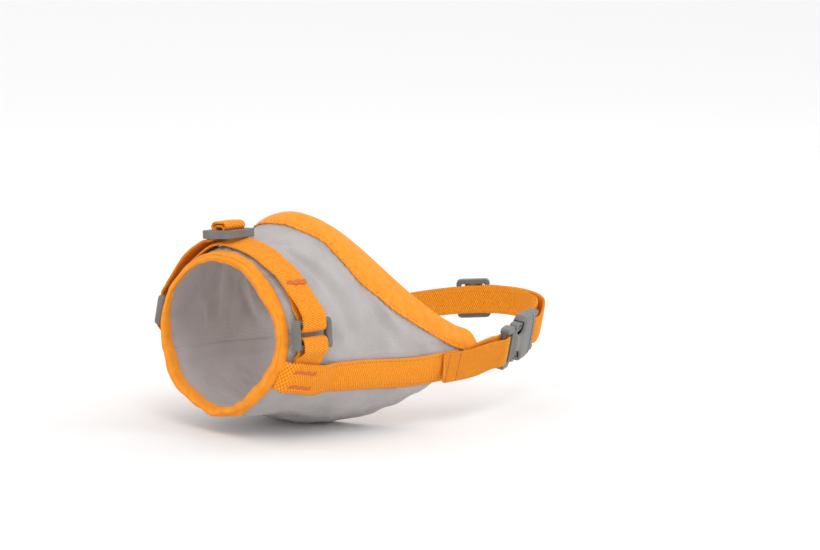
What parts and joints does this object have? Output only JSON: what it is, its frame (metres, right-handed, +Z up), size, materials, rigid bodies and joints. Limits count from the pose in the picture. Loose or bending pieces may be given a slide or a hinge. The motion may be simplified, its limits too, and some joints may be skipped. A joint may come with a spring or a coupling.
{
  "type": "soft dog muzzle",
  "caption": "Soft fabric sleeve muzzle for a dog, with bound edges, webbing nose, jaw and neck straps, cheek rings, strap sliders and a side-release buckle.",
  "frame": {"origin": "in the middle of the front opening that the nose looks out of, on the muzzle's middle plane", "axes": "+Z up, -Y the way the snout points, +X the dog's left"},
  "size_m": [0.1106, 0.2379, 0.1075],
  "materials": {
    "webbing": "woven nylon webbing, matte",
    "binding": "soft woven edge binding, matte",
    "sleeve": "thin ripstop cloth, soft sheen",
    "hardware": "moulded, satin",
    "thread": "sewing thread, matte"
  },
  "bodies": {
    "sleeve": {"nose_panel": "sleeve", "chin_panel": "sleeve", "front_binding": "binding", "rear_binding": "binding", "side_strap_left": "webbing", "side_strap_right": "webbing", "ring_loop_left": "webbing", "ring_loop_right": "webbing", "nose_strap": "webbing", "nose_tack_left": "thread", "jaw_tack_left_1": "thread", "jaw_tack_left_2": "thread", "jaw_tack_right_1": "thread", "jaw_tack_right_2": "thread"},
    "neck_loop": {"buckle_strap": "webbing", "buckle_socket": "hardware", "neck_strap": "webbing", "neck_tack_left_1": "thread", "neck_tack_left_2": "thread", "neck_tack_right_1": "thread", "neck_tack_right_2": "thread"},
    "latch": {"buckle_latch": "hardware", "latch_strap": "webbing"},
    "prong_upper": {"latch_prong_upper": "hardware"},
    "prong_lower": {"latch_prong_lower": "hardware"},
    "nose_slider": {"nose_slider": "hardware", "nose_slider_turn": "webbing"},
    "neck_slider": {"neck_slider": "hardware", "neck_slider_turn": "webbing"},
    "ring_left": {"ring_left": "hardware"},
    "ring_right": {"ring_right": "hardware"}
  },
  "joints": [
    {"name": "neck_swing", "type": "hinge", "parent": "sleeve", "child": "neck_loop", "pos_m": [0, 0.1135, -0.0203], "axis": [1, 0, 0], "range_deg": [-12, 12]},
    {"name": "buckle_release", "type": "slide", "parent": "neck_loop", "child": "latch", "axis": [-0.3167, 0.944, 0.0929], "range_m": [0, 0.024], "deforming": ["latch_strap"]},
    {"name": "prong_upper_flex", "type": "hinge", "parent": "latch", "child": "prong_upper", "pos_m": [0.0392, 0.19385, -0.00607], "axis": [0.9314, 0.328, -0.1578], "range_deg": [0, 9.5]},
    {"name": "prong_lower_flex", "type": "hinge", "parent": "latch", "child": "prong_lower", "pos_m": [0.0363, 0.19445, -0.022], "axis": [-0.9314, -0.328, 0.1578], "range_deg": [0, 9.5]},
    {"name": "nose_slider_slide", "type": "slide", "parent": "sleeve", "child": "nose_slider", "axis": [0.9934, 0, 0.1149], "range_m": [-0.003, 0.004], "deforming": ["nose_strap"]},
    {"name": "neck_slider_slide", "type": "slide", "parent": "neck_loop", "child": "neck_slider", "axis": [0.8256, 0.5563, 0.0944], "range_m": [-0.005, 0.005], "deforming": ["latch_strap"]},
    {"name": "ring_left_swing", "type": "hinge", "parent": "sleeve", "child": "ring_left", "pos_m": [0.04573, 0.0127, -0.0001], "axis": [0.1718, 0.9848, 0.0246], "range_deg": [0, 25], "deforming": ["nose_strap"]},
    {"name": "ring_right_swing", "type": "hinge", "parent": "sleeve", "child": "ring_right", "pos_m": [-0.04813, 0.0127, -0.0001], "axis": [0.1718, -0.9848, -0.0246], "range_deg": [0, 25], "deforming": ["nose_strap"]}
  ],
  "couplings": [
    {"joint": "prong_upper_flex", "follows": "buckle_release", "rad_per_m": 6.9},
    {"joint": "prong_lower_flex", "follows": "buckle_release", "rad_per_m": 6.9}
  ]
}
